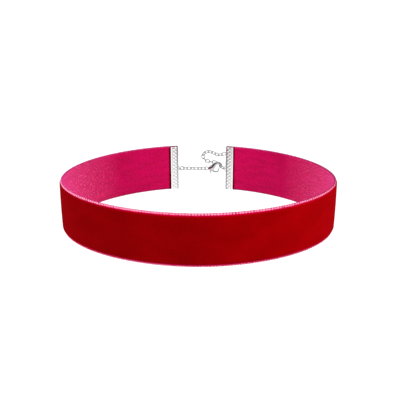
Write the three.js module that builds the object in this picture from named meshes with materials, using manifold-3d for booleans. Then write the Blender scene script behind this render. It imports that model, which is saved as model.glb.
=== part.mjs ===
// A velvet ribbon choker, fastened: a flat ribbon bent into a ring, a folded metal clamp on each of its ends,
// and between the clamps a short chain, a lobster clasp, a jump ring and a free extension chain.
// Millimetres. +Z is up, along the neck. The front of the ribbon faces -Y and the clasp lies at +Y.
// The origin is on the neck's axis, where the ring is widest, half way up the ribbon.
import * as THREE from "three";
import { mergeVertices } from "three/addons/utils/BufferGeometryUtils.js";
import Module from "manifold-3d";

const wasm = await Module();
wasm.setup();

// Ribbon
const RIBBON_WIDTH = 25;
const GROUND_THICKNESS = 1.0; // woven ground, which is bare at the selvedges and inside
const PILE_HEIGHT = 0.6; // velvet pile on the outer face
const SELVEDGE_WIDTH = 1.2; // bare strip along each long edge
const PILE_ROUNDING = 0.5; // width over which the pile rises from the selvedge
const PILE_SHOULDER = { across: 0.3, up: 0.65 }; // shares of that width and of the pile's height
const EDGE_SOFTNESS = 0.3; // share of the ground's thickness that each long edge is rounded by
const HEM_SHOWN = 0.9; // turned-in end of the ribbon that shows beside a clamp
const HEM_RISE = 0.4; // how far the turned-in end stands out of the inner face
const HEM_EDGE = 0.15; // length over which it rises, and the pile is pressed down by the clamp
const LOOP_HALF_WIDTH = 64.6; // to the inner face, as are the two depths
const LOOP_FRONT_DEPTH = 45.8; // from the widest line to the front
const LOOP_BACK_DEPTH = 50.8; // from the widest line to where the ring would close behind
const LOOP_ROUNDNESS = 1.9; // exponent of the ring's oval: 2 is an ellipse
const LOOP_STEPS = 76;

// Clamps
const CLAMP_WIDTH = 4.4; // along the ribbon
const CLAMP_HEIGHT = 24.2;
const CLAMP_SHEET = 0.45;
const FOLD_ROUNDING = 1.0; // length over which the folded edge is rounded
const CLAMP_LIP = 0.12; // rise of the smooth lip at the mouth
const CLAMP_LIP_WIDTH = 0.7;
const RIB_PITCH = 2.0;
const RIB_LENGTH = 2.1;
const RIB_WIDTH = 0.35;
const RIB_RISE = 0.14;
const RIB_SLANT = 0.7; // radians from the ribbon's direction
const SEAT_GAP = 0.2; // between the ribbon and the clamp that grips it
const EYELET_RADIUS = 1.2; // to the middle of the eyelet's wire
const EYELET_WIRE = 0.55;
const EYELET_STAND = 0.1; // from the clamp's fold to the eyelet's centre
const EYELET_DROP = 0.7; // below the clamp's middle
const CLASP_SHIFT = 1.9; // the closing's middle, to the right of the ring's middle

// Chain and rings
const LINK_LENGTH = 3.08;
const LINK_WIDTH = 2.3;
const LINK_WIRE = 0.45;
const LINK_PLAY = 0.2; // free space between two wires that pull on each other
const FIRST_LINK_ROLL = -0.3 * Math.PI; // each next link stands across the one before it
const CHAIN_LINKS = 6;
const TAIL_LINKS = 14;
const CHAIN_RING_RADIUS = 1.32;
const CHAIN_RING_WIRE = 0.55;
const CHAIN_RING_ROLL = 0.45;
const CATCH_RING_RADIUS = 1.7;
const CATCH_RING_WIRE = 0.6;

// Lobster clasp. Its frame has its origin in the eye and +X towards the nose.
const EYE_RADIUS = 1.0;
const EYE_WIRE = 0.5;
const HOOK_LENGTH = 7.05; // from the eye's wire to the middle of the nose
const HOOK_RISE = 3.3; // from the eye up to the middle of the hook's top
const BASE_BREADTH = 3.3; // of the base, in the plane of the hook
const BASE_DEPTH = 2.6; // of the base, across that plane
const PIN_RADIUS = 0.3;
const PIN_SET_BACK = 0.05; // of each end of the pin from the base's widest sides
const PIN_CLEARANCE = 0.1;
const LEVER_BREADTH = 1.0;
const LEVER_BOSS = 0.72;
const LEVER_THICKNESS = 0.95;
const LEVER_CLEARANCE = 0.15;
// Points of the clasp: shares of the hook's length from the eye's wire, and of its rise above the eye
const PIVOT_PLACE = { along: 0.241, rise: -0.167 };
const HOLD_PLACE = { along: 0.865, rise: 0.5 }; // where the catch ring's wire crosses the hook
// Along the middle of the cast hook to its nose, with shares of the base's breadth and depth
const HOOK_TABLE = [
  { along: -0.02, rise: 0, breadth: 0.375, depth: 0.385 },
  { along: 0.085, rise: 0, breadth: 0.7, depth: 0.77 },
  { along: 0.241, rise: 0.06, breadth: 1, depth: 1 },
  { along: 0.397, rise: 0.394, breadth: 0.757, depth: 0.923 },
  { along: 0.525, rise: 0.757, breadth: 0.606, depth: 0.808 },
  { along: 0.681, rise: 1, breadth: 0.515, depth: 0.73 },
  { along: 0.858, rise: 0.94, breadth: 0.455, depth: 0.654 },
  { along: 0.979, rise: 0.682, breadth: 0.333, depth: 0.554 },
  { along: 1, rise: 0.364, breadth: 0.255, depth: 0.462 },
  { along: 0.957, rise: 0.106, breadth: 0.206, depth: 0.385 },
];
// Along the middle of the lever from its pivot to its tip, with shares of the lever's breadth
const LEVER_TABLE = [
  { along: 0.241, rise: -0.167, breadth: 1 },
  { along: 0.355, rise: -0.394, breadth: 0.96 },
  { along: 0.525, rise: -0.545, breadth: 0.9 },
  { along: 0.709, rise: -0.53, breadth: 0.8 },
  { along: 0.801, rise: -0.348, breadth: 0.68 },
  { along: 0.834, rise: -0.091, breadth: 0.56 },
  { along: 0.831, rise: 0.152, breadth: 0.48 },
];
// The thumb piece, from the lever's boss outwards
const THUMB_TABLE = [
  { along: 0.227, rise: -0.303, breadth: 0.84 },
  { along: 0.184, rise: -0.53, breadth: 0.68 },
  { along: 0.156, rise: -0.697, breadth: 0.84 },
];

// Where the free chain hangs on the catch ring: this far round from the ring's back towards the clasp
const TAIL_START = 0.35;
// The free chain's route, from the catch ring's middle: x runs towards the right clamp, y away from the
// neck and z up.
const TAIL_ROUTE = [
  { x: -1.3, y: 2.75, z: 1.1 },
  { x: -3.0, y: 3.2, z: 1.5 },
  { x: -4.9, y: 3.15, z: 1.9 },
  { x: -6.8, y: 3.0, z: 2.1 },
  { x: -8.6, y: 2.7, z: 2.7 },
  { x: -10.0, y: 2.5, z: 3.8 },
  { x: -10.7, y: 2.3, z: 5.5 },
  { x: -10.1, y: 2.15, z: 7.2 },
  { x: -8.6, y: 2.1, z: 8.2 },
  { x: -6.7, y: 2.1, z: 8.3 },
  { x: -4.9, y: 2.1, z: 7.65 },
  { x: -3.2, y: 2.2, z: 6.7 },
  { x: -1.4, y: 2.4, z: 6.2 },
  { x: 0.4, y: 2.8, z: 6.6 },
  { x: 2.3, y: 3.3, z: 7.3 },
  { x: 3.1, y: 3.5, z: 7.8 },
];

// Sides and steps of the faceted solids
const WIRE_SIDES = 6;
const LINK_STEPS = 14;
const RING_STEPS = 16;
const CAST_SIDES = 12;
const CAST_STEPS = 22;
const LEVER_STEPS = 14;
const THUMB_STEPS = 4;
const ROUND_SIDES = 16;

// Steps of the searches for the joints of the free chain and for the ribbon's ends
const ROUTE_STEPS = 4000;
const FITTING_STEPS = 40;

const VELVET = new THREE.MeshStandardMaterial({ color: 0x96040a, roughness: 0.85, metalness: 0 });
const SILVER = new THREE.MeshStandardMaterial({ color: 0xd9dadc, roughness: 0.22, metalness: 1 });

const UP = new THREE.Vector3(0, 0, 1);

// The ribbon's inner face seen from above, anticlockwise from the left clamp by the front to the right one.
class RibbonLoop extends THREE.Curve {
  constructor(start, end) {
    super();
    this.start = start;
    this.end = end;
  }
  getPoint(t, target = new THREE.Vector3()) {
    const angle = this.start + (this.end - this.start) * t;
    const depth = Math.sin(angle) > 0 ? LOOP_BACK_DEPTH : LOOP_FRONT_DEPTH;
    const bulge = (value) => Math.sign(value) * Math.abs(value) ** (2 / LOOP_ROUNDNESS);
    return target.set(
      LOOP_HALF_WIDTH * bulge(Math.cos(angle)),
      depth * bulge(Math.sin(angle)),
      0,
    );
  }
}

// The angle on the back half of the ring whose point lies at x.
function angleAt(x) {
  const share = Math.abs(x) / LOOP_HALF_WIDTH;
  return Math.acos(Math.sign(x) * share ** (LOOP_ROUNDNESS / 2));
}

// A closed body through rings of points, each with as many points, all running the same way round.
function loft(rings) {
  const count = rings[0].length;
  const positions = rings.flat().flatMap((point) => [point.x, point.y, point.z]);
  const faces = [];
  for (let r = 0; r + 1 < rings.length; r += 1) {
    for (let i = 0; i < count; i += 1) {
      const a = r * count + i;
      const b = r * count + ((i + 1) % count);
      faces.push(a, b, b + count, a, b + count, a + count);
    }
  }
  addCap(faces, rings[0], 0, true);
  addCap(faces, rings[rings.length - 1], (rings.length - 1) * count, false);
  const geometry = new THREE.BufferGeometry();
  geometry.setAttribute("position", new THREE.Float32BufferAttribute(positions, 3));
  geometry.setIndex(faces);
  geometry.computeVertexNormals();
  return geometry;
}

// The flat end of a loft, cut into triangles in the ring's own plane.
function addCap(faces, ring, first, isStart) {
  const normal = new THREE.Vector3();
  for (let i = 0; i < ring.length; i += 1) {
    normal.add(new THREE.Vector3().crossVectors(ring[i], ring[(i + 1) % ring.length]));
  }
  normal.normalize();
  const across = new THREE.Vector3().subVectors(ring[1], ring[0]).normalize();
  const along = new THREE.Vector3().crossVectors(normal, across);
  const flat = ring.map((point) => new THREE.Vector2(point.dot(across), point.dot(along)));
  for (const [a, b, c] of THREE.ShapeUtils.triangulateShape(flat, [])) {
    const corners = isStart ? [a, c, b] : [a, b, c];
    faces.push(...corners.map((corner) => first + corner));
  }
}

// A three.js geometry as a manifold-3d solid, and back.
function solidOf(geometry) {
  const bare = new THREE.BufferGeometry();
  bare.setAttribute("position", geometry.getAttribute("position").clone());
  if (geometry.index) bare.setIndex(geometry.index.clone());
  const merged = mergeVertices(bare, 1e-4);
  return new wasm.Manifold(
    new wasm.Mesh({
      numProp: 3,
      vertProperties: merged.getAttribute("position").array,
      triVerts: new Uint32Array(merged.index.array),
    }),
  );
}

function geometryOf(solid) {
  const mesh = solid.getMesh();
  const geometry = new THREE.BufferGeometry();
  geometry.setAttribute("position", new THREE.BufferAttribute(mesh.vertProperties, 3));
  geometry.setIndex(new THREE.BufferAttribute(mesh.triVerts, 1));
  geometry.computeVertexNormals();
  return geometry;
}

function meshOf(name, geometry, material) {
  const mesh = new THREE.Mesh(geometry, material);
  mesh.name = name;
  return mesh;
}

// Ribbon

// The corners of the ribbon's section: each one's height, and how far out of the inner face it lies.
// They run from the upper edge down the outer face to the lower edge.
function ribbonSection(pileShare, hemShare) {
  const half = RIBBON_WIDTH / 2;
  const soft = GROUND_THICKNESS * EDGE_SOFTNESS;
  const pile = PILE_HEIGHT * pileShare;
  const bare = half - SELVEDGE_WIDTH;
  const inner = -HEM_RISE * hemShare;
  const upper = [
    { height: half - soft, out: inner },
    { height: half, out: soft },
    { height: half, out: GROUND_THICKNESS - soft },
    { height: half - soft, out: GROUND_THICKNESS },
    { height: bare, out: GROUND_THICKNESS },
    {
      height: bare - PILE_ROUNDING * PILE_SHOULDER.across,
      out: GROUND_THICKNESS + pile * PILE_SHOULDER.up,
    },
    { height: bare - PILE_ROUNDING, out: GROUND_THICKNESS + pile },
  ];
  const lower = upper.map(({ height, out }) => ({ height: -height, out })).reverse();
  return [...upper, ...lower];
}

// The ribbon's ring of corners at a distance from the start of the loop, straight on past its two ends.
function ribbonRing(loop, distance, pileShare, hemShare) {
  const length = loop.getLength();
  const held = THREE.MathUtils.clamp(distance, 0, length);
  const tangent = loop.getTangentAt(held / length);
  const base = loop.getPointAt(held / length).addScaledVector(tangent, distance - held);
  const outward = new THREE.Vector3().crossVectors(tangent, UP);
  return ribbonSection(pileShare, hemShare).map(({ height, out }) =>
    base.clone().addScaledVector(outward, out).addScaledVector(UP, height),
  );
}

function ribbonGeometry(loop) {
  const length = loop.getLength();
  const grip = CLAMP_WIDTH - CLAMP_SHEET - SEAT_GAP;
  const ends = [
    { distance: -grip, pile: 0, hem: 1 },
    { distance: HEM_EDGE, pile: 0, hem: 1 },
    { distance: HEM_SHOWN, pile: 1, hem: 1 },
    { distance: HEM_SHOWN + HEM_EDGE, pile: 1, hem: 0 },
  ];
  const middle = [];
  for (let i = 1; i < LOOP_STEPS; i += 1) {
    middle.push({ distance: (length * i) / LOOP_STEPS, pile: 1, hem: 0 });
  }
  const mirrored = ends.map((end) => ({ ...end, distance: length - end.distance })).reverse();
  return loft(
    [...ends, ...middle, ...mirrored].map((s) => ribbonRing(loop, s.distance, s.pile, s.hem)),
  );
}

// Clamps. In a clamp's frame x runs from its mouth to its fold, y away from the neck from the ribbon's
// inner face, and z along the fold.

const slotLow = -HEM_RISE - SEAT_GAP;
const slotHigh = GROUND_THICKNESS + SEAT_GAP;
const clampMiddle = (slotLow + slotHigh) / 2;
const clampHalf = (slotHigh - slotLow) / 2 + CLAMP_SHEET;

function clampProfile() {
  const shape = new THREE.Shape();
  const slotHalf = clampHalf - CLAMP_SHEET;
  const lip = clampHalf + CLAMP_LIP;
  const lipEnd = CLAMP_LIP_WIDTH + CLAMP_LIP;
  shape.moveTo(0, clampMiddle - lip);
  shape.lineTo(CLAMP_LIP_WIDTH, clampMiddle - lip);
  shape.lineTo(lipEnd, clampMiddle - clampHalf);
  shape.lineTo(CLAMP_WIDTH - FOLD_ROUNDING, clampMiddle - clampHalf);
  shape.quadraticCurveTo(CLAMP_WIDTH, clampMiddle - clampHalf, CLAMP_WIDTH, clampMiddle);
  shape.quadraticCurveTo(
    CLAMP_WIDTH,
    clampMiddle + clampHalf,
    CLAMP_WIDTH - FOLD_ROUNDING,
    clampMiddle + clampHalf,
  );
  shape.lineTo(lipEnd, clampMiddle + clampHalf);
  shape.lineTo(CLAMP_LIP_WIDTH, clampMiddle + lip);
  shape.lineTo(0, clampMiddle + lip);
  shape.lineTo(0, clampMiddle + slotHalf);
  shape.lineTo(CLAMP_WIDTH - CLAMP_SHEET, clampMiddle + slotHalf);
  shape.lineTo(CLAMP_WIDTH - CLAMP_SHEET, clampMiddle - slotHalf);
  shape.lineTo(0, clampMiddle - slotHalf);
  shape.closePath();
  return shape;
}

// The crossed ribs stamped into one leaf of a clamp, side 1 outside and -1 inside.
function clampRibs(side) {
  const ribs = [];
  const middle = CLAMP_LIP_WIDTH + CLAMP_LIP + (Math.cos(RIB_SLANT) * RIB_LENGTH) / 2;
  const count = Math.floor((CLAMP_HEIGHT - RIB_LENGTH) / RIB_PITCH);
  for (let i = 0; i <= count; i += 1) {
    for (const slant of [-RIB_SLANT, RIB_SLANT]) {
      const rib = new THREE.BoxGeometry(RIB_LENGTH, RIB_RISE * 2, RIB_WIDTH);
      rib.rotateY(slant);
      rib.translate(middle, clampMiddle + side * clampHalf, (i - count / 2) * RIB_PITCH);
      ribs.push(solidOf(rib));
    }
  }
  return ribs;
}

function clampGeometry(eyeletHeight) {
  const channel = new THREE.ExtrudeGeometry(clampProfile(), {
    depth: CLAMP_HEIGHT,
    bevelEnabled: false,
    curveSegments: 4,
  });
  channel.translate(0, 0, -CLAMP_HEIGHT / 2);
  const eyelet = new THREE.TorusGeometry(
    EYELET_RADIUS,
    EYELET_WIRE / 2,
    WIRE_SIDES,
    RING_STEPS,
  );
  eyelet.rotateX(Math.PI / 2);
  const eyeletCentre = new THREE.Vector3(CLAMP_WIDTH + EYELET_STAND, clampMiddle, eyeletHeight);
  eyelet.translate(...eyeletCentre.toArray());
  const slot = new THREE.BoxGeometry(
    CLAMP_WIDTH - CLAMP_SHEET,
    (clampHalf - CLAMP_SHEET) * 2,
    CLAMP_HEIGHT * 2,
  );
  slot.translate((CLAMP_WIDTH - CLAMP_SHEET) / 2, clampMiddle, 0);
  let solid = solidOf(channel).add(solidOf(eyelet));
  for (const rib of [...clampRibs(1), ...clampRibs(-1)]) solid = solid.add(rib);
  return geometryOf(solid.subtract(solidOf(slot)));
}

// Chain, rings and clasp

// A round or long closed ring of wire in the XY plane, long in X.
function wireRing(radius, wire, stretch, steps) {
  const ring = new THREE.TorusGeometry(radius, wire / 2, WIRE_SIDES, steps);
  const position = ring.getAttribute("position");
  for (let i = 0; i < position.count; i += 1) {
    const x = position.getX(i);
    position.setX(i, x + (Math.sign(x) * stretch) / 2);
  }
  const bare = new THREE.BufferGeometry();
  bare.setAttribute("position", position);
  bare.setIndex(ring.index);
  const merged = mergeVertices(bare, 1e-4);
  merged.computeVertexNormals();
  return merged;
}

// Half the way between the middles of two wires that pull on each other.
function halfJoint(wireA, wireB) {
  return (wireA + wireB) / 4 + LINK_PLAY / 2;
}

const linkStep = LINK_LENGTH - 2 * LINK_WIRE - LINK_PLAY;

// A frame with x along a direction and y as near as it can be to the way that faces aside.
function frameAlong(origin, direction, aside) {
  const x = direction.clone().normalize();
  const y = aside.clone().addScaledVector(x, -aside.dot(x)).normalize();
  const z = new THREE.Vector3().crossVectors(x, y);
  return new THREE.Matrix4().makeBasis(x, y, z).setPosition(origin);
}

function placed(mesh, frame) {
  frame.decompose(mesh.position, mesh.quaternion, mesh.scale);
  return mesh;
}

// A row of links through joints, one link from each joint to the next, each across the one before.
function chain(prefix, joints, firstAside) {
  const geometry = wireRing(
    (LINK_WIDTH - LINK_WIRE) / 2,
    LINK_WIRE,
    LINK_LENGTH - LINK_WIDTH,
    LINK_STEPS,
  );
  const group = new THREE.Group();
  let aside = firstAside;
  for (let i = 0; i + 1 < joints.length; i += 1) {
    const direction = new THREE.Vector3().subVectors(joints[i + 1], joints[i]);
    const middle = new THREE.Vector3().addVectors(joints[i], joints[i + 1]).multiplyScalar(0.5);
    const link = meshOf(`${prefix}_${String(i + 1).padStart(2, "0")}`, geometry, SILVER);
    group.add(placed(link, frameAlong(middle, direction, aside)));
    aside = new THREE.Vector3().crossVectors(direction, aside).normalize();
  }
  return group;
}

// Joints one link step apart, in a straight line, along a curve.
function jointsAlong(curve, count) {
  const joints = [curve.getPoint(0)];
  for (let i = 1; i <= ROUTE_STEPS && joints.length <= count; i += 1) {
    const point = curve.getPoint(i / ROUTE_STEPS);
    if (point.distanceTo(joints[joints.length - 1]) >= linkStep) joints.push(point);
  }
  return joints;
}

// A point of the clasp's frame from its shares of the hook.
function hookPoint({ along, rise }) {
  return new THREE.Vector3(EYE_RADIUS + along * HOOK_LENGTH, 0, rise * HOOK_RISE);
}

const pivot = hookPoint(PIVOT_PLACE);
const hold = hookPoint(HOLD_PLACE);
const bossReach = LEVER_BOSS + LEVER_CLEARANCE;

// A bar of cast metal through the rows of a table, of the given full breadth and depth where a share is 1.
function castBar(table, breadth, depth, steps) {
  const middle = new THREE.CatmullRomCurve3(table.map(hookPoint));
  const sizes = new THREE.CatmullRomCurve3(
    table.map((row) => new THREE.Vector3(row.breadth * breadth, (row.depth ?? 1) * depth, 0)),
  );
  const rings = [];
  for (let i = 0; i <= steps; i += 1) {
    const centre = middle.getPoint(i / steps);
    const size = sizes.getPoint(i / steps);
    const depthwise = new THREE.Vector3(0, 1, 0);
    const breadthwise = new THREE.Vector3().crossVectors(middle.getTangent(i / steps), depthwise);
    const ring = [];
    for (let side = 0; side < CAST_SIDES; side += 1) {
      const angle = ((side + 0.5) * 2 * Math.PI) / CAST_SIDES;
      const corner = centre.clone();
      corner.addScaledVector(breadthwise, (size.x / 2) * Math.cos(angle));
      corner.addScaledVector(depthwise, (-size.y / 2) * Math.sin(angle));
      ring.push(corner);
    }
    rings.push(ring);
  }
  return loft(rings);
}

// A round bar about the lever's axis.
function roundBar(radius, length) {
  const bar = new THREE.CylinderGeometry(radius, radius, length, ROUND_SIDES);
  bar.translate(pivot.x, 0, pivot.z);
  return bar;
}

// The slot in the base that the lever turns in, open downwards and towards the nose.
function leverSlot() {
  const left = pivot.x - bossReach;
  const top = pivot.z + bossReach;
  const slot = new THREE.BoxGeometry(
    hold.x - left,
    LEVER_THICKNESS + 2 * LEVER_CLEARANCE,
    BASE_BREADTH * 2,
  );
  slot.translate((hold.x + left) / 2, 0, top - BASE_BREADTH);
  return slot;
}

function claspBodyGeometry() {
  const hook = solidOf(castBar(HOOK_TABLE, BASE_BREADTH, BASE_DEPTH, CAST_STEPS));
  const eyeRing = new THREE.TorusGeometry(EYE_RADIUS, EYE_WIRE / 2, WIRE_SIDES, RING_STEPS);
  eyeRing.rotateX(Math.PI / 2);
  const bore = roundBar(PIN_RADIUS + PIN_CLEARANCE, BASE_DEPTH * 2);
  return geometryOf(
    hook.add(solidOf(eyeRing)).subtract(solidOf(leverSlot())).subtract(solidOf(bore)),
  );
}

function leverGeometry() {
  const arm = solidOf(castBar(LEVER_TABLE, LEVER_BREADTH, LEVER_THICKNESS, LEVER_STEPS));
  const thumb = solidOf(castBar(THUMB_TABLE, LEVER_BREADTH, LEVER_THICKNESS, THUMB_STEPS));
  const boss = solidOf(roundBar(LEVER_BOSS, LEVER_THICKNESS));
  const bore = solidOf(roundBar(PIN_RADIUS + PIN_CLEARANCE, LEVER_THICKNESS * 2));
  return geometryOf(arm.add(boss).add(thumb).subtract(bore));
}

function pinGeometry() {
  return roundBar(PIN_RADIUS, BASE_DEPTH - 2 * PIN_SET_BACK);
}

// Lengths along the closing, from the joint at the left eyelet to the joint at the right one
const chainRingStep = 2 * CHAIN_RING_RADIUS
  - halfJoint(CHAIN_RING_WIRE, EYELET_WIRE)
  - halfJoint(CHAIN_RING_WIRE, LINK_WIRE);
const eyeJoint = chainRingStep + CHAIN_LINKS * linkStep;
const claspX = eyeJoint - halfJoint(LINK_WIRE, EYE_WIRE) + EYE_RADIUS;
const catchRun = Math.sqrt((2 * CATCH_RING_RADIUS) ** 2 - hold.z ** 2);
const catchEndX = claspX + hold.x + catchRun;
const closingLength = catchEndX - halfJoint(CATCH_RING_WIRE, EYELET_WIRE);

// Everything between the two eyelets, in the closing's own frame.
function closing() {
  const group = new THREE.Group();
  const away = new THREE.Vector3(0, 1, 0);
  const forward = new THREE.Vector3(1, 0, 0);
  const rolled = (roll) => away.clone().applyAxisAngle(forward, roll);

  const chainRing = meshOf(
    "chain_jump_ring",
    wireRing(CHAIN_RING_RADIUS, CHAIN_RING_WIRE, 0, RING_STEPS),
    SILVER,
  );
  const ringCentre = new THREE.Vector3(
    CHAIN_RING_RADIUS - halfJoint(CHAIN_RING_WIRE, EYELET_WIRE),
    0,
    0,
  );
  group.add(placed(chainRing, frameAlong(ringCentre, forward, rolled(CHAIN_RING_ROLL))));

  const joints = [];
  for (let i = 0; i <= CHAIN_LINKS; i += 1) {
    joints.push(new THREE.Vector3(chainRingStep + i * linkStep, 0, 0));
  }
  group.add(chain("chain_link", joints, rolled(FIRST_LINK_ROLL)));

  const clasp = new THREE.Group();
  clasp.position.x = claspX;
  clasp.add(
    meshOf("clasp_body", claspBodyGeometry(), SILVER),
    meshOf("clasp_lever", leverGeometry(), SILVER),
    meshOf("clasp_pin", pinGeometry(), SILVER),
  );
  group.add(clasp);

  const start = hold.clone().add(clasp.position);
  const end = new THREE.Vector3(catchEndX, 0, 0);
  const catchRing = meshOf(
    "catch_jump_ring",
    wireRing(CATCH_RING_RADIUS, CATCH_RING_WIRE, 0, RING_STEPS),
    SILVER,
  );
  const catchCentre = new THREE.Vector3().addVectors(start, end).multiplyScalar(0.5);
  const along = new THREE.Vector3().subVectors(end, start);
  group.add(placed(catchRing, frameAlong(catchCentre, along, away)));

  const catchAxis = new THREE.Vector3().crossVectors(along, away).normalize();
  const toTail = away.clone().applyAxisAngle(catchAxis, TAIL_START);
  const tailReach = CATCH_RING_RADIUS - halfJoint(CATCH_RING_WIRE, LINK_WIRE);
  const route = new THREE.CatmullRomCurve3(
    [
      toTail.multiplyScalar(tailReach),
      ...TAIL_ROUTE.map(({ x, y, z }) => new THREE.Vector3(x, y, z)),
    ].map((point) => point.add(catchCentre)),
    false,
    "centripetal",
  );
  group.add(chain("tail_link", jointsAlong(route, TAIL_LINKS), catchAxis));
  return group;
}

// Assembly

// A clamp's frame at one end of the loop: its origin on the ribbon's inner face, at the clamp's mouth.
function clampFrame(loop, atEnd) {
  const mouth = loop.getPointAt(atEnd ? 1 : 0);
  const tangent = loop.getTangentAt(atEnd ? 1 : 0);
  const outward = new THREE.Vector3().crossVectors(tangent, UP);
  const toGap = atEnd ? tangent : tangent.clone().negate();
  const third = new THREE.Vector3().crossVectors(toGap, outward);
  return new THREE.Matrix4().makeBasis(toGap, outward, third).setPosition(mouth);
}

// The point between an eyelet's wire and the ring that pulls on it.
function eyeletJoint(frame, wire) {
  const x = CLAMP_WIDTH + EYELET_STAND + EYELET_RADIUS - halfJoint(EYELET_WIRE, wire);
  const joint = new THREE.Vector3(x, clampMiddle, 0).applyMatrix4(frame);
  joint.z = -EYELET_DROP;
  return joint;
}

function loopFor(halfSpan) {
  const start = angleAt(CLASP_SHIFT - halfSpan);
  const end = angleAt(CLASP_SHIFT + halfSpan);
  return new RibbonLoop(start, end + 2 * Math.PI);
}

function eyeletJoints(loop) {
  return {
    left: eyeletJoint(clampFrame(loop, false), CHAIN_RING_WIRE),
    right: eyeletJoint(clampFrame(loop, true), CATCH_RING_WIRE),
  };
}

// The ribbon ends where the closing just reaches from one eyelet to the other.
function fittedLoop() {
  let low = CLAMP_WIDTH;
  let high = closingLength;
  for (let i = 0; i < FITTING_STEPS; i += 1) {
    const halfSpan = (low + high) / 2;
    const { left, right } = eyeletJoints(loopFor(halfSpan));
    if (left.distanceTo(right) < closingLength) low = halfSpan;
    else high = halfSpan;
  }
  return loopFor((low + high) / 2);
}

const choker = new THREE.Group();
const loop = fittedLoop();
choker.add(meshOf("ribbon", ribbonGeometry(loop), VELVET));
choker.add(
  placed(meshOf("clamp_left", clampGeometry(-EYELET_DROP), SILVER), clampFrame(loop, false)),
  placed(meshOf("clamp_right", clampGeometry(EYELET_DROP), SILVER), clampFrame(loop, true)),
);
const { left, right } = eyeletJoints(loop);
const awayFromNeck = new THREE.Vector3(0, 1, 0);
const closed = closing();
choker.add(
  placed(closed, frameAlong(left, new THREE.Vector3().subVectors(right, left), awayFromNeck)),
);

export default choker;
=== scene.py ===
import math

import bmesh
import bpy
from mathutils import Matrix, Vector


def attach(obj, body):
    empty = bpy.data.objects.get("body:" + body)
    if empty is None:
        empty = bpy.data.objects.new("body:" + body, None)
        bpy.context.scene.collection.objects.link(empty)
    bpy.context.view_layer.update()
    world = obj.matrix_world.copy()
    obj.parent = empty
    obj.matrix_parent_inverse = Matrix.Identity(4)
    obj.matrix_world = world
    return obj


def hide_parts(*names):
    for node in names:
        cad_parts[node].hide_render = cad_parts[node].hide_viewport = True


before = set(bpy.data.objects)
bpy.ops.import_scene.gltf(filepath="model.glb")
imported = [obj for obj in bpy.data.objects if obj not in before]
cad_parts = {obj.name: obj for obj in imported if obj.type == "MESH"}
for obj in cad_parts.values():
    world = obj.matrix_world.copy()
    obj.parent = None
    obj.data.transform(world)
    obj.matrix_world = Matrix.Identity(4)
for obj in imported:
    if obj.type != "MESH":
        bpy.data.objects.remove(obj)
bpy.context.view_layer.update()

# Metres throughout. The ribbon follows the solid that it replaces: the same oval ring, with
# the front at -Y and the clamps at +Y.

# Ribbon
RIBBON_WIDTH = 0.025
GROUND = 0.0010  # thickness of the woven ground
PILE = 0.0006  # height of the velvet pile over it
CROWN = 0.00012  # how much lower the pile is beside the selvedges than in the middle
PILE_ROUNDING = 0.0006  # width over which the pile comes down to the ground
SELVEDGE = 0.0014  # bare strip along each long edge
RIB_RISE = 0.00005  # of the selvedge's own threads
RIB_PITCH = 0.00088
LOOP_RISE = 0.00016  # of the thread loops along the selvedges
LOOP_PITCH = 0.00132
HALF_WIDTH = 0.0646  # of the ring, to the ribbon's inner face
FRONT_DEPTH = 0.0458
BACK_DEPTH = 0.0508
ROUNDNESS = 1.9  # exponent of the ring's oval: 2 is an ellipse
CLASP_SHIFT = 0.0019  # the closing's middle, to the right of the ring's middle
HALF_GAP = 0.01715  # half the distance between the two clamps' mouths
GRIP = 0.0037  # length of ribbon inside each clamp
GATHER = 0.07  # share of its width that the ribbon loses inside a clamp
GATHER_LENGTH = 0.0004  # length over which it loses it
PILE_START = -0.0001  # where the pile begins to rise, from a clamp's mouth
PILE_START_LENGTH = 0.0006
HEM_SHOWN = 0.0009  # turned-in end that shows beside each clamp
HEM_RISE = 0.0004
HEM_STEP = 0.0002  # length over which it falls back to the inner face
STEP = 0.00022  # between the ribbon's sections
FINE_STEPS = 20000  # of the ring's path, before it is divided evenly

# Corners of the upper half of the ribbon's section, from the middle of the outer face over the
# edge to the middle of the inner face. The lower half mirrors them.
CROWN_SHARES = (0.0, 0.3, 0.62, 0.86)  # of the pile's half width
PILE_SHOULDER = ((0.8, 0.4), (0.35, 0.05))  # shares of the pile's height and of its rounding
# Share of the selvedge's width, share of the ground, and shares of RIB_RISE: steady, with the
# ribs and with the loops
EDGE_CORNERS = ((0.0001 / SELVEDGE, 1.0, 0, 1, 0), (0.35, 1.0, 1, 0, 1), (0.7, 0.95, 0, 0, 1))
RIM_CORNERS = ((0.8, 0.8, 0), (0.5, 0.5, 0), (0.2, 0.8, 1))  # shares of GROUND, LOOP_RISE, hem
RIM_SWING = 0.5  # share of LOOP_RISE that the loops swing by
BACK_EDGE = (0.6, 0.1)  # shares of the selvedge's width
BACK_SHARES = (0.66, 0.33)  # of the pile's half width

ZONES = ("velvet", "edge", "back", "hem", "rim")  # in the order of the ribbon's materials

# Metal
WELD_REACH = 0.000001
CLAMP_EDGES = 30  # degrees from which an edge stays sharp
CLASP_EDGES = 48
WIRE_LEVELS = 2  # of subdivision, for links and rings
WIRE_REGAIN = 0.00003  # the thickness of wire that subdivision takes off
CLAMP_WIDTH = 0.0044
CLAMP_TURN = 0.243  # radians between a clamp and the X axis
MOUTH_Y = 0.04858  # of the clamps' mouths, on the ribbon's inner face
# The crossed stamping on the clamps, in line with the ribs of their solids
STAMP_PITCH = 0.0020
STAMP_SLOPE = math.tan(0.7)
STAMP_MIDDLE = 0.00162  # from a clamp's mouth to the middle of its ribs
STAMP_BAND = (0.17, 0.2, 0.82, 0.95)  # shares of a clamp's width where it begins and ends

# Camera, in the photograph's framing
LENS = 62.77
SENSOR = 36.0
DISTANCE = 0.338
PITCH = 0.3745
AIM = Vector((0.0008, 0.0, 0.0003))

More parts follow.
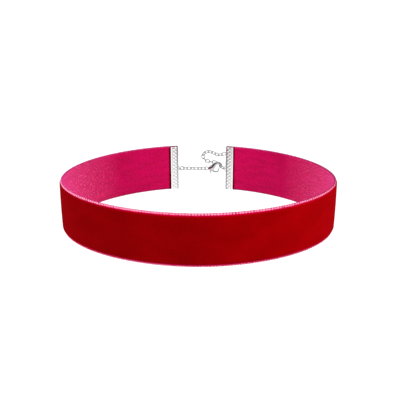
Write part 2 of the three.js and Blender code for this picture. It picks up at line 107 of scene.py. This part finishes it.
# Studio: lamps as name, place, size and watts
LAMPS = (
    ("key", (0.8, -0.58, 0.5), 0.45, 19.0),
    ("fill", (-0.8, -0.58, 0.5), 0.45, 17.5),
    ("top", (0.0, -0.1, 0.9), 0.8, 3.5),
)
WALL_STARTS = (("Z", 0.5, 0.75), ("Y", 0.15, 0.5))  # axis, where a wall begins and is bright
WALL_DARK = (0.05, 0.05, 0.055)
FLOOR_SIZE = 6.0
FLOOR_HEIGHT = -0.4
FLOOR_CELLS = 4
FLOOR_BEHIND = (0.05, 0.4)  # Y over which the floor becomes white behind the choker
FLOOR_MIDDLE = ((0.5, 1.05), (0.85, 0.1))  # (distance from the middle, glow) in front of it


# Nodes


def grey(value):
    return (value, value, value)


BLACK = grey(0.0)
WHITE = grey(1.0)
AS_IS = (1.0, 1.0, 1.0)


class Material:
    """A node material with short calls for the nodes that this scene uses."""

    WAVE_SCALE = 0.05  # the wave texture has a period for each 2 pi / 20 of its coordinate
    MIX_COLOURS = (6, 7)  # the mix node's inputs for colours, and its output
    MIX_RESULT = 2

    def __init__(self, name, **settings):
        self.material = bpy.data.materials.new(name)
        self.material.use_nodes = True
        self.nodes = self.material.node_tree.nodes
        self.links = self.material.node_tree.links
        self.shader = self.nodes["Principled BSDF"]
        for key, value in settings.items():
            self.shader.inputs[key.replace("_", " ")].default_value = value

    def put(self, target, source):
        """Links a socket, or sets a plain value."""
        if isinstance(source, bpy.types.NodeSocket):
            self.links.new(source, target)
        else:
            target.default_value = source

    def uv(self, scale=AS_IS):
        """The cloth's own coordinates: metres along the ribbon and across it, times scale."""
        coordinates = self.nodes.new("ShaderNodeUVMap")
        coordinates.uv_map = "cloth"
        return self.scaled(coordinates.outputs["UV"], scale)

    def place(self, scale=AS_IS):
        """The object's coordinates in metres, times scale."""
        coordinates = self.nodes.new("ShaderNodeTexCoord")
        return self.scaled(coordinates.outputs["Object"], scale)

    def scaled(self, vector, scale):
        mapping = self.nodes.new("ShaderNodeMapping")
        self.links.new(vector, mapping.inputs["Vector"])
        mapping.inputs["Scale"].default_value = scale
        return mapping.outputs["Vector"]

    def split(self, vector):
        split = self.nodes.new("ShaderNodeSeparateXYZ")
        self.links.new(vector, split.inputs["Vector"])
        return split.outputs

    def noise(self, vector, scale=1.0, detail=2.0, rough=0.5):
        noise = self.nodes.new("ShaderNodeTexNoise")
        self.links.new(vector, noise.inputs["Vector"])
        noise.inputs["Scale"].default_value = scale
        noise.inputs["Detail"].default_value = detail
        noise.inputs["Roughness"].default_value = rough
        return noise.outputs["Fac"]

    def threads(self, axis, pitch, distortion=0.0, cross_pitch=math.inf):
        """Bands of the cloth, one for each pitch: along it in X, or across it in Y. Their
        distortion changes the other way with cross_pitch."""
        turns, cross = 2 * math.pi / pitch, 2 * math.pi / cross_pitch
        wave = self.nodes.new("ShaderNodeTexWave")
        wave.bands_direction = axis
        scale = (turns, cross, 0.0) if axis == "X" else (cross, turns, 0.0)
        self.links.new(self.uv(scale), wave.inputs["Vector"])
        wave.inputs["Scale"].default_value = self.WAVE_SCALE
        wave.inputs["Distortion"].default_value = distortion
        wave.inputs["Detail"].default_value = 1.0
        return wave.outputs["Fac"]

    def calc(self, operation, a, b=0.0, c=0.0):
        node = self.nodes.new("ShaderNodeMath")
        node.operation = operation
        for socket, value in zip(node.inputs, (a, b, c)):
            self.put(socket, value)
        return node.outputs["Value"]

    def blend(self, a, share_a, b, share_b):
        """The sum of two values by their shares."""
        return self.calc("MULTIPLY_ADD", a, share_a, self.calc("MULTIPLY", b, share_b))

    def ramp(self, value, *stops):
        """A colour ramp through (position, colour) stops."""
        ramp = self.nodes.new("ShaderNodeValToRGB")
        self.links.new(value, ramp.inputs["Fac"])
        elements = ramp.color_ramp.elements
        while len(elements) < len(stops):
            elements.new(0.5)
        for element, (position, colour) in zip(elements, stops):
            element.position = position
            element.color = (*colour, 1.0)
        return ramp.outputs["Color"]

    def mix(self, factor, a, b, blend="MIX"):
        node = self.nodes.new("ShaderNodeMix")
        node.data_type = "RGBA"
        node.blend_type = blend
        self.put(node.inputs["Factor"], factor)
        for index, value in zip(self.MIX_COLOURS, (a, b)):
            colour = (*value, 1.0) if isinstance(value, tuple) else value
            self.put(node.inputs[index], colour)
        return node.outputs[self.MIX_RESULT]

    def colour(self, value):
        self.put(self.shader.inputs["Base Color"], value)

    def roughness(self, fine, spread, least):
        """Roughness from a fine pattern: least where it is 0, and spread more where it is 1."""
        self.put(self.shader.inputs["Roughness"], self.calc("MULTIPLY_ADD", fine, spread, least))

    def bump(self, height, distance, strength, under=None):
        bump = self.nodes.new("ShaderNodeBump")
        bump.inputs["Distance"].default_value = distance
        bump.inputs["Strength"].default_value = strength
        self.links.new(height, bump.inputs["Height"])
        if under is not None:
            self.links.new(under, bump.inputs["Normal"])
        self.links.new(bump.outputs["Normal"], self.shader.inputs["Normal"])
        return bump.outputs["Normal"]


def velvet(name, dark, light, tips, length):
    """Cut pile: brushed patches, fine tufts in rows, and painted shade along the ring that
    leaves it darker on the left and brighter to the right.
    """
    cloth = Material(
        name,
        Sheen_Weight=0.12,
        Sheen_Roughness=0.5,
        Sheen_Tint=(*tips, 1.0),
        Specular_IOR_Level=0.0,
    )
    patches = cloth.noise(cloth.uv((60.0, 110.0, 1.0)), detail=3.0, rough=0.6)
    tufts = cloth.noise(cloth.uv(), scale=2600.0, detail=3.0, rough=0.7)
    rows = cloth.threads("Y", pitch=0.00042, distortion=0.6)
    brushed = cloth.ramp(cloth.blend(tufts, 0.5, patches, 0.5), (0.34, dark), (0.66, light))
    along = cloth.split(cloth.uv((1 / length, 1.0, 1.0)))["X"]
    # painted shade: the left half darker, as if lit from the right
    painted_side_shade = cloth.ramp(along, (0.495, grey(0.605)), (0.66, grey(0.91)))
    cloth.colour(cloth.mix(1.0, brushed, painted_side_shade, "MULTIPLY"))
    cloth.roughness(tufts, spread=0.2, least=0.72)
    coarse = cloth.bump(tufts, distance=0.00022, strength=0.8)
    cloth.bump(rows, distance=0.00004, strength=0.5, under=coarse)
    return cloth.material


def satin(name, dark, light, painted_sheen, painted_glint, length):
    """Woven back: fine threads both ways and a soft gloss, with painted sheen that makes it
    paler where the ring turns away, and a painted glint there.
    """
    cloth = Material(
        name,
        Sheen_Weight=0.7,
        Sheen_Roughness=0.3,
        Sheen_Tint=(1.0, 0.03, 0.53, 1.0),
        Specular_IOR_Level=0.03,
    )
    warp = cloth.threads("Y", pitch=0.00034, distortion=0.8)
    weft = cloth.threads("X", pitch=0.00052, distortion=1.2)
    weave = cloth.calc("MULTIPLY", warp, weft)
    slubs = cloth.noise(cloth.uv((900.0, 1500.0, 1.0)), rough=0.6)
    moire = cloth.noise(cloth.uv((90.0, 420.0, 1.0)), detail=3.0, rough=0.55)
    base = cloth.ramp(cloth.blend(moire, 0.55, slubs, 0.45), (0.36, dark), (0.62, light))
    turned = where_ring_turns(cloth, length)
    # painted sheen: a paler colour added where the ring turns away
    with_painted_sheen = cloth.mix(turned, base, painted_sheen, "ADD")
    # painted glint: pale specks on the weave where the ring turns away
    painted_glints = cloth.ramp(slubs, (0.56, BLACK), (0.62, WHITE))
    painted_glint_points = cloth.calc("MULTIPLY", cloth.calc("MULTIPLY", painted_glints, weave), turned)
    cloth.colour(cloth.mix(painted_glint_points, with_painted_sheen, painted_glint))
    cloth.roughness(slubs, spread=0.2, least=0.38)
    ground = cloth.bump(weave, distance=0.00006, strength=0.7)
    cloth.bump(slubs, distance=0.00005, strength=0.4, under=ground)
    return cloth.material


def where_ring_turns(cloth, length):
    """A mask of the ribbon's two sides, between its front and its clamps, where the satin's
    painted sheen and painted glint go.
    """
    along = cloth.split(cloth.uv((1 / length, 1.0, 1.0)))["X"]
    from_front = cloth.calc("ABSOLUTE", cloth.calc("SUBTRACT", along, 0.5))
    dull = grey(0.04)
    return cloth.ramp(from_front, (0.1, dull), (0.22, WHITE), (0.27, WHITE), (0.41, dull))


def selvedge(name, strip, gap, thread, highlight_tip):
    """Bare woven edge: a plain strip beside the pile, then wound loops with painted highlight on
    their pale tips and painted shade between them.
    """
    cloth = Material(name, Sheen_Weight=0.05, Sheen_Roughness=0.4, Specular_IOR_Level=0.0)
    loops = cloth.threads("X", LOOP_PITCH)
    twist = cloth.threads("X", pitch=0.00021, distortion=0.5, cross_pitch=0.0005)
    uneven = cloth.noise(cloth.uv((900.0, 900.0, 1.0)))
    lit = cloth.blend(uneven, 0.85, loops, 0.4)
    # painted light: the loops darker between them and pale where they catch the light
    wound = cloth.ramp(lit, (0.3, gap), (0.5, thread), (0.74, highlight_tip))
    across = cloth.calc("ABSOLUTE", cloth.split(cloth.uv((1.0, 2 / RIBBON_WIDTH, 1.0)))["Y"])
    start = 1 - 2 * SELVEDGE / RIBBON_WIDTH
    outer = cloth.ramp(across, (start + 0.05, BLACK), (start + 0.06, WHITE))
    cloth.colour(cloth.mix(outer, strip, wound))
    cloth.roughness(uneven, spread=0.2, least=0.5)
    cloth.bump(twist, distance=0.00006, strength=0.8)
    return cloth.material


def plated(name, dark, light, stamped=False):
    """Bright plated metal with faint handling marks, and crossed stamping if it is asked for."""
    metal = Material(name, Metallic=1.0, IOR=1.8)
    cloudy = metal.noise(metal.place(), scale=900.0, detail=3.0)
    marks = metal.noise(metal.place((5000.0, 5000.0, 700.0)), detail=4.0, rough=0.7)
    metal.roughness(marks, spread=0.14, least=0.05)
    under = metal.bump(marks, distance=0.00001, strength=0.3)
    plain = metal.ramp(cloudy, (0.3, dark), (0.7, light))
    if stamped:
        relief, band = stamping(metal)
        metal.bump(metal.calc("MULTIPLY", relief, band), 0.00004, 0.55, under)
        # darker in the grooves between the stamped ridges
        darker_in_grooves = metal.ramp(relief, (0.02, grey(0.7)), (0.25, WHITE))
        plain = metal.mix(band, plain, metal.mix(1.0, plain, darker_in_grooves, "MULTIPLY"))
    metal.colour(plain)
    return metal.material


def stamping(metal):
    """The clamps' crossed ridges, from 0 to 1, and a mask of the leaves that carry them."""
    place = metal.split(metal.place())
    from_mouth = distance_from_mouth(metal, place)
    turns = 2 * math.pi / STAMP_PITCH
    slope = turns * STAMP_SLOPE
    across = metal.calc("MULTIPLY_ADD", from_mouth, slope, -slope * STAMP_MIDDLE)
    up = metal.calc("MULTIPLY", place["Z"], turns)
    ridges = []
    for sign in (1.0, -1.0):
        phase = metal.calc("MULTIPLY_ADD", up, sign, across)
        ridges.append(metal.calc("MULTIPLY_ADD", metal.calc("COSINE", phase), -0.5, 0.5))
    share = metal.calc("MULTIPLY", from_mouth, 1 / CLAMP_WIDTH)
    band = metal.ramp(share, *zip(STAMP_BAND, (BLACK, WHITE, WHITE, BLACK)))
    return metal.calc("MULTIPLY", *ridges), band


def distance_from_mouth(metal, place):
    """How far a point lies from its clamp's mouth towards the gap, along the clamp's leaf."""
    cos, sin = math.cos(CLAMP_TURN), math.sin(CLAMP_TURN)
    from_middle = metal.calc("ABSOLUTE", metal.calc("SUBTRACT", place["X"], CLASP_SHIFT))
    start = HALF_GAP * cos - MOUTH_Y * sin
    sideways = metal.calc("MULTIPLY_ADD", from_middle, -cos, start)
    return metal.calc("MULTIPLY_ADD", place["Y"], sin, sideways)


# Ribbon


def smooth(value):
    """An even step from 0 to 1."""
    value = min(max(value, 0.0), 1.0)
    return value * value * (3 - 2 * value)


def ring_point(angle):
    """A point on the ribbon's inner face, by the angle of the oval."""
    depth = BACK_DEPTH if math.sin(angle) > 0 else FRONT_DEPTH

    def bulge(value):
        return math.copysign(abs(value) ** (2 / ROUNDNESS), value)

    return Vector((HALF_WIDTH * bulge(math.cos(angle)), depth * bulge(math.sin(angle)), 0.0))


def angle_at(x):
    """The angle on the back half of the ring whose point lies at x."""
    share = (abs(x) / HALF_WIDTH) ** (ROUNDNESS / 2)
    return math.acos(math.copysign(share, x))


def even_path():
    """(distance, point, tangent) at even distances along the ring, from inside one clamp to
    inside the other, and the length from mouth to mouth."""
    start = angle_at(CLASP_SHIFT - HALF_GAP)
    end = angle_at(CLASP_SHIFT + HALF_GAP) + 2 * math.pi
    turn = (end - start) / FINE_STEPS
    painted_glint_points = [ring_point(start + turn * i) for i in range(FINE_STEPS + 1)]
    reach = [0.0]
    for a, b in zip(painted_glint_points, painted_glint_points[1:]):
        reach.append(reach[-1] + (b - a).length)
    length = reach[-1]
    cut = length + 2 * GRIP
    count = round(cut / STEP)
    path, at = [], 0
    for i in range(count + 1):
        distance = -GRIP + cut * i / count
        held = min(max(distance, 0.0), length)
        while at < FINE_STEPS - 1 and reach[at + 1] < held:
            at += 1
        share = (held - reach[at]) / (reach[at + 1] - reach[at])
        tangent = (painted_glint_points[at + 1] - painted_glint_points[at]).normalized()
        base = painted_glint_points[at].lerp(painted_glint_points[at + 1], share) + tangent * (distance - held)
        path.append((distance, base, tangent))
    return path, length


def section(distance, length):
    """The ribbon's outline at a distance along it: (out, height, zone) for each corner."""
    from_end = min(distance, length - distance)
    gripped = 1 - smooth(from_end / GATHER_LENGTH + 0.5)
    half = RIBBON_WIDTH / 2 * (1 - GATHER * gripped)
    pile = PILE * smooth((from_end - PILE_START) / PILE_START_LENGTH)
    hem = -HEM_RISE * (1 - smooth((from_end - HEM_SHOWN) / HEM_STEP))
    loops = math.sin(2 * math.pi * distance / LOOP_PITCH)
    bare = half - SELVEDGE
    corners = pile_corners(bare, pile)
    corners += edge_corners(distance, bare, loops)
    corners += rim_corners(half, hem, loops)
    corners += back_corners(bare, hem, loops)
    mirrored = [(out, -height, zone) for out, height, zone in reversed(corners[1:])]
    return corners + [(hem, 0.0, "back")] + mirrored


def pile_corners(bare, pile):
    """The crowned velvet, from the middle to where it comes down to the ground."""
    top = GROUND + pile - CROWN
    corners = []
    for share in CROWN_SHARES:
        corners.append((top + CROWN * math.cos(share * math.pi / 2), bare * share, "velvet"))
    corners.append((top, bare - PILE_ROUNDING, "velvet"))
    for up, down in PILE_SHOULDER:
        corners.append((GROUND + pile * up, bare - PILE_ROUNDING * down, "velvet"))
    return corners


def edge_corners(distance, bare, loops):
    """The bare selvedge on the outer face, with its threads."""
    ribs = math.sin(2 * math.pi * distance / RIB_PITCH)
    corners = []
    for across, thick, steady, by_ribs, by_loops in EDGE_CORNERS:
        lift = RIB_RISE * (steady + by_ribs * ribs + by_loops * loops)
        corners.append((GROUND * thick + lift, bare + SELVEDGE * across, "edge"))
    return corners


def rim_corners(half, hem, loops):
    """The long edge itself, which swings with the thread loops."""
    corners = []
    for thick, inset, by_hem in RIM_CORNERS:
        height = half - LOOP_RISE * (inset - RIM_SWING * loops)
        corners.append((GROUND * thick + hem * by_hem, height, "rim"))
    return corners


def back_corners(bare, hem, loops):
    """The inner face, from the edge to beside its middle."""
    outer, inner = BACK_EDGE
    corners = [(hem + RIB_RISE * (1 - loops) / 2, bare + SELVEDGE * outer, "back")]
    corners.append((hem, bare + SELVEDGE * inner, "back"))
    corners += [(hem, bare * share, "back") for share in BACK_SHARES]
    return corners


def face_zones(corners):
    """The zone of the strip from each corner to the next, the same on both halves."""
    zones = []
    for (_, a, first), (_, b, second) in zip(corners, corners[1:] + corners[:1]):
        zones.append(first if (a + b) / 2 >= 0 else second)
    return zones


def ribbon_mesh(path, length):
    """The whole ribbon as one closed mesh, with the cloth's coordinates as its UV map."""
    mesh = bmesh.new()
    up = Vector((0, 0, 1))
    rings = []
    for distance, base, tangent in path:
        outward = tangent.cross(up)
        corners = section(distance, length)
        rings.append([mesh.verts.new(base + outward * o + up * h) for o, h, _ in corners])
    middle = section(length / 2, length)
    zones = face_zones(middle)
    heights = [height for _, height, _ in middle]
    uv = mesh.loops.layers.uv.new("cloth")
    for k in range(len(rings) - 1):
        here, there = path[k][0], path[k + 1][0]
        folded = min(here, length - here) < HEM_SHOWN
        for i, zone in enumerate(zones):
            j = (i + 1) % len(zones)
            face = mesh.faces.new((rings[k][i], rings[k + 1][i], rings[k + 1][j], rings[k][j]))
            face.material_index = ZONES.index("hem" if folded and zone == "back" else zone)
            face.smooth = True
            across = (heights[i], heights[i], heights[j], heights[j])
            for loop, u, v in zip(face.loops, (here, there, there, here), across):
                loop[uv].uv = (u, v)
    mesh.faces.new(rings[0])
    mesh.faces.new(list(reversed(rings[-1])))
    bmesh.ops.recalc_face_normals(mesh, faces=mesh.faces[:])
    return mesh


def ribbon_materials(length):
    """The cloth of each zone, in the order of ZONES. The colours are linear."""
    return (
        velvet(
            "velvet_pile",
            dark=(0.165, 0.0, 0.0),
            light=(0.25, 0.0, 0.001),
            tips=(1.0, 0.03, 0.06),
            length=length,
        ),
        selvedge(
            "selvedge_thread",
            strip=(0.33, 0.0, 0.03),
            gap=(0.09, 0.0, 0.012),
            thread=(0.32, 0.012, 0.07),
            highlight_tip=(0.72, 0.25, 0.36),
        ),
        satin(
            "satin_back",
            dark=(0.225, 0.0, 0.026),
            light=(0.31, 0.0, 0.044),
            painted_sheen=(0.14, 0.022, 0.062),
            painted_glint=(0.88, 0.25, 0.54),
            length=length,
        ),
        # The velvet in darker colours for the turned-in end beside each clamp: painted shade.
        velvet(
            "velvet_hem_shaded",
            dark=(0.1, 0.0, 0.0),
            light=(0.16, 0.0, 0.0005),
            tips=(0.8, 0.02, 0.05),
            length=length,
        ),
        # The long edge in darker selvedge colours: painted shade along it.
        selvedge(
            "selvedge_rim_shaded",
            strip=(0.2, 0.0, 0.03),
            gap=(0.07, 0.0, 0.012),
            thread=(0.15, 0.0, 0.035),
            highlight_tip=(0.36, 0.03, 0.13),
        ),
    )


def add_mesh(name, mesh):
    """A new object in the scene from a bmesh, which is freed."""
    data = bpy.data.meshes.new(name)
    mesh.to_mesh(data)
    mesh.free()
    node = bpy.data.objects.new(name, data)
    bpy.context.scene.collection.objects.link(node)
    return node


def add_ribbon():
    """The ribbon with its materials, in place of its solid."""
    path, length = even_path()
    ribbon = add_mesh("ribbon_cloth", ribbon_mesh(path, length))
    for material in ribbon_materials(length):
        ribbon.data.materials.append(material)
    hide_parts("ribbon")
    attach(ribbon, "choker")


# Hardware


def join_facets(node):
    """Joins a node's loose facets and forgets their flat shading."""
    node.data.shade_smooth()
    for name in ("custom_normal", "sharp_edge"):
        if name in node.data.attributes:
            node.data.attributes.remove(node.data.attributes[name])
    weld = node.modifiers.new("weld", "WELD")
    weld.merge_threshold = WELD_REACH


def keep_edges(node, angle):
    """Shades a node smoothly, up to edges of this angle in degrees."""
    edges = node.modifiers.new("edges", "EDGE_SPLIT")
    edges.split_angle = math.radians(angle)


def round_wire(node):
    """Makes a bent wire round, and gives back the thickness that it loses by that."""
    rounding = node.modifiers.new("rounding", "SUBSURF")
    rounding.levels = WIRE_LEVELS
    rounding.render_levels = WIRE_LEVELS
    thickness = node.modifiers.new("thickness", "DISPLACE")
    thickness.mid_level = 0.0
    thickness.strength = WIRE_REGAIN


def finish_metal():
    """Gives each metal piece its material and its shading: round wires, edges on the rest."""
    stamped = plated("stamped_clamp", (0.8, 0.79, 0.8), (0.87, 0.86, 0.87), stamped=True)
    wire = plated("chain_wire", (0.42, 0.42, 0.43), (0.54, 0.54, 0.55))
    cast = plated("cast_clasp", (0.42, 0.42, 0.43), (0.55, 0.55, 0.56))
    finishes = {"clamp": (stamped, CLAMP_EDGES), "clasp": (cast, CLASP_EDGES)}
    for name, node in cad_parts.items():
        if name == "ribbon":
            continue
        material, angle = finishes.get(name.split("_")[0], (wire, None))
        node.data.materials.clear()
        node.data.materials.append(material)
        join_facets(node)
        if angle is None:
            round_wire(node)
        else:
            keep_edges(node, angle)


# Camera and light


def add_camera():
    data = bpy.data.cameras.new("camera")
    data.lens = LENS
    data.sensor_width = SENSOR
    camera = bpy.data.objects.new("camera", data)
    bpy.context.scene.collection.objects.link(camera)
    camera.location = AIM + Vector((0, -math.cos(PITCH), math.sin(PITCH))) * DISTANCE
    camera.rotation_euler = (math.pi / 2 - PITCH, 0, 0)
    bpy.context.scene.camera = camera


def add_lamp(name, place, size, power):
    """A soft lamp that faces the choker and isn't seen in the metal."""
    data = bpy.data.lights.new(name, "AREA")
    data.size = size
    data.energy = power
    light = bpy.data.objects.new(name, data)
    bpy.context.scene.collection.objects.link(light)
    light.location = place
    light.visible_glossy = False
    light.rotation_euler = (-Vector(place)).to_track_quat("-Z", "Y").to_euler()


def add_world():
    """A bright ceiling and back wall, dark elsewhere, so that polished metal shows its edges."""
    world = bpy.data.worlds.new("studio")
    world.use_nodes = True
    bpy.context.scene.world = world
    nodes, links = world.node_tree.nodes, world.node_tree.links
    coordinates = nodes.new("ShaderNodeTexCoord")
    split = nodes.new("ShaderNodeSeparateXYZ")
    links.new(coordinates.outputs["Generated"], split.inputs["Vector"])
    brighter = nodes.new("ShaderNodeMath")
    brighter.operation = "MAXIMUM"
    for socket, (axis, start, full) in zip(brighter.inputs, WALL_STARTS):
        wall = nodes.new("ShaderNodeMapRange")
        wall.interpolation_type = "SMOOTHSTEP"
        wall.inputs["From Min"].default_value = start
        wall.inputs["From Max"].default_value = full
        links.new(split.outputs[axis], wall.inputs["Value"])
        links.new(wall.outputs["Result"], socket)
    ramp = nodes.new("ShaderNodeValToRGB")
    links.new(brighter.outputs["Value"], ramp.inputs["Fac"])
    for element, colour in zip(ramp.color_ramp.elements, (WALL_DARK, WHITE)):
        element.color = (*colour, 1.0)
    links.new(ramp.outputs["Color"], nodes["Background"].inputs["Color"])


def floor_white():
    """Plain white, which glows behind the choker and in a strip in front of it."""
    white = Material("floor_white", Roughness=0.9, Emission_Strength=1.0)
    place = white.split(white.place())
    behind = white.ramp(place["Y"], *zip(FLOOR_BEHIND, (BLACK, WHITE)))
    stops = [(distance, grey(glow)) for distance, glow in FLOOR_MIDDLE]
    middle = white.ramp(white.calc("ABSOLUTE", place["X"]), *stops)
    white.put(white.shader.inputs["Emission Color"], white.mix(behind, middle, WHITE))
    grain = white.noise(white.place(), scale=3.0)
    white.colour(white.ramp(grain, (0.0, grey(0.12)), (1.0, grey(0.16))))
    return white.material


def add_floor():
    """A floor far enough below that the choker's shadow doesn't show on it."""
    mesh = bmesh.new()
    bmesh.ops.create_grid(mesh, x_segments=FLOOR_CELLS, y_segments=FLOOR_CELLS, size=FLOOR_SIZE)
    floor = add_mesh("floor", mesh)
    floor.location.z = FLOOR_HEIGHT
    floor.data.materials.append(floor_white())


bpy.context.scene.view_settings.view_transform = "Standard"
add_camera()
add_world()
add_floor()
for lamp in LAMPS:
    add_lamp(*lamp)
add_ribbon()
finish_metal()
